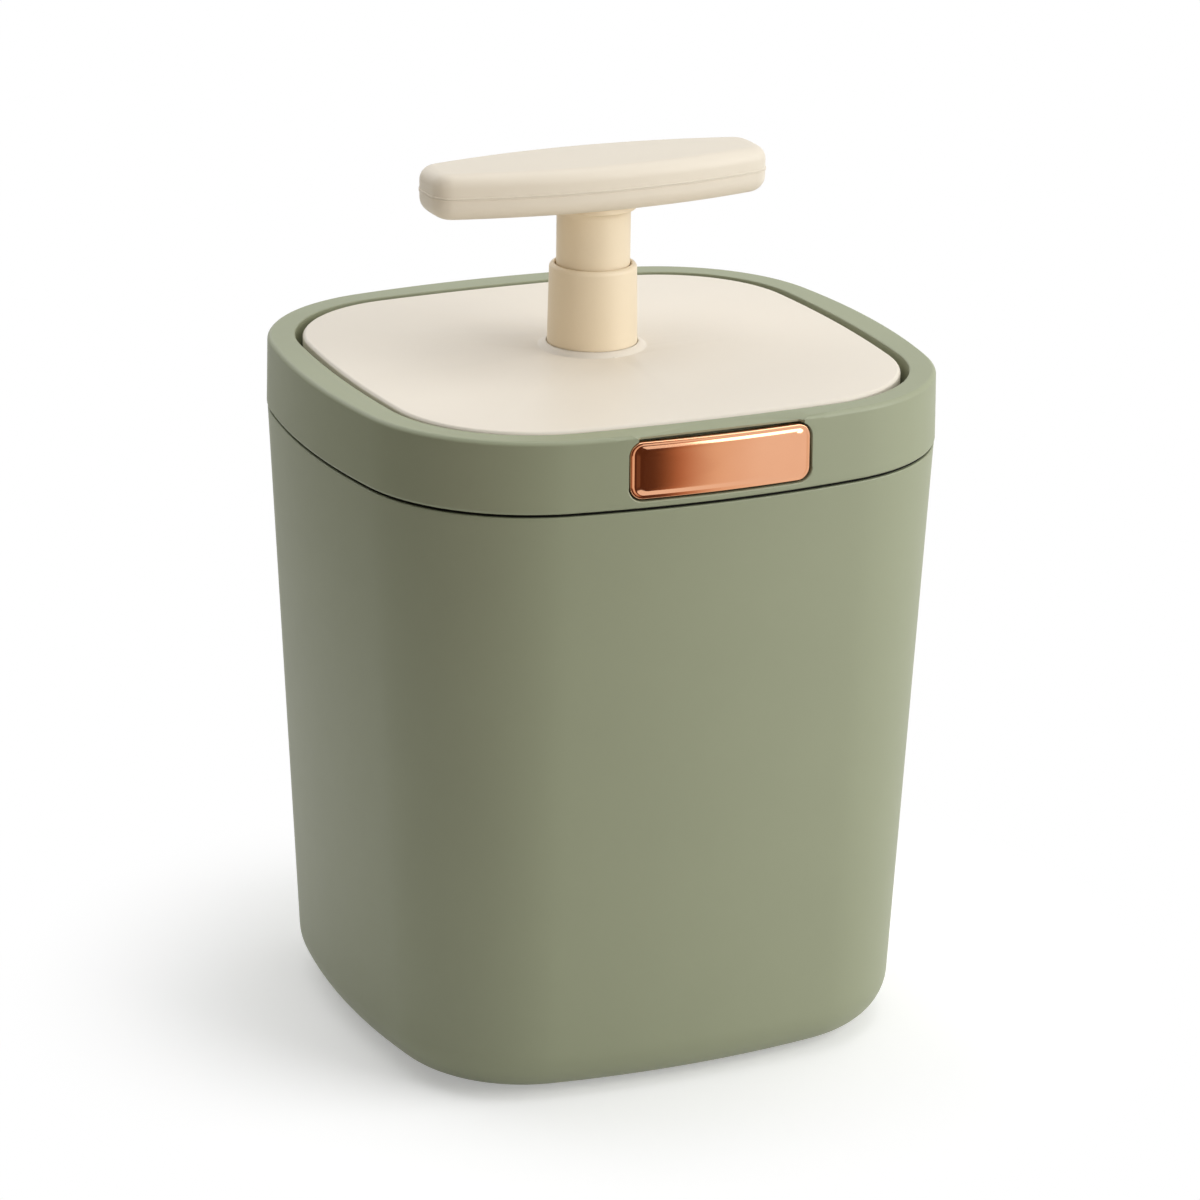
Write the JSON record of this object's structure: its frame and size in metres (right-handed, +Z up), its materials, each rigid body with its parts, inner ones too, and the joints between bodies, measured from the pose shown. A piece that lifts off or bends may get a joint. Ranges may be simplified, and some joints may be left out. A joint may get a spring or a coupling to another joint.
{
  "type": "countertop compost bin",
  "caption": "Rounded countertop compost bin with lift-out bucket, lift-off collar, hinged press lid, T-handle plunger and a latch button.",
  "frame": {"origin": "middle of the underside, on the table, under the body's centre", "axes": "+Z up, +X to the right seen from the button side, +Y from the button at the front to the hinge at the rear"},
  "size_m": [0.1906, 0.181, 0.2713],
  "materials": {
    "sage_plastic": "matte",
    "cream_plastic": "matte",
    "sand_plastic": "matte",
    "copper": "satin",
    "bucket_plastic": "matte",
    "white_plastic": "matte",
    "grey_plastic": "matte",
    "rubber": "matte",
    "silicone": "matte",
    "steel": "brushed",
    "charcoal": "felt"
  },
  "bodies": {
    "bin": {"outer_body": "sage_plastic", "rubber_feet": "rubber"},
    "bucket": {"inner_bucket": "bucket_plastic"},
    "collar": {"collar_ring": "sage_plastic", "collar_frame": "grey_plastic", "collar_seal": "silicone", "collar_screws": "steel", "hinge_pin": "steel", "latch_bridge": "white_plastic", "latch_screws": "steel", "latch_spring": "steel"},
    "lid": {"lid_plate": "cream_plastic", "lid_tray": "cream_plastic", "lid_gasket": "silicone", "lid_screws": "steel", "charcoal_filter": "charcoal", "filter_cover": "white_plastic", "plunger_sleeve": "sand_plastic", "stem_seals": "silicone", "sleeve_nut": "white_plastic"},
    "plunger": {"plunger_stem": "sand_plastic", "handle_bottom": "cream_plastic", "handle_top": "cream_plastic", "handle_screws": "steel", "press_plate": "white_plastic", "plate_washer": "steel", "plate_screw": "steel"},
    "button": {"button_face": "copper", "latch_slider": "white_plastic"}
  },
  "joints": [
    {"name": "bucket_lift", "type": "slide", "parent": "bin", "child": "bucket", "axis": [0, 0, 1], "range_m": [0, 0.2]},
    {"name": "collar_lift", "type": "slide", "parent": "bucket", "child": "collar", "axis": [0, 0, 1], "range_m": [0, 0.12]},
    {"name": "lid_hinge", "type": "hinge", "parent": "collar", "child": "lid", "pos_m": [0, 0.0665, 0.209], "axis": [-1, 0, 0], "range_deg": [0, 65]},
    {"name": "plunger_slide", "type": "slide", "parent": "lid", "child": "plunger", "axis": [0, 0, 1], "range_m": [-0.016, 0.037]},
    {"name": "button_press", "type": "slide", "parent": "collar", "child": "button", "axis": [0, 1, 0], "range_m": [0, 0.0026], "stiffness_N_per_m": 400, "springref_m": -0.002, "deforming": ["latch_spring"]}
  ]
}
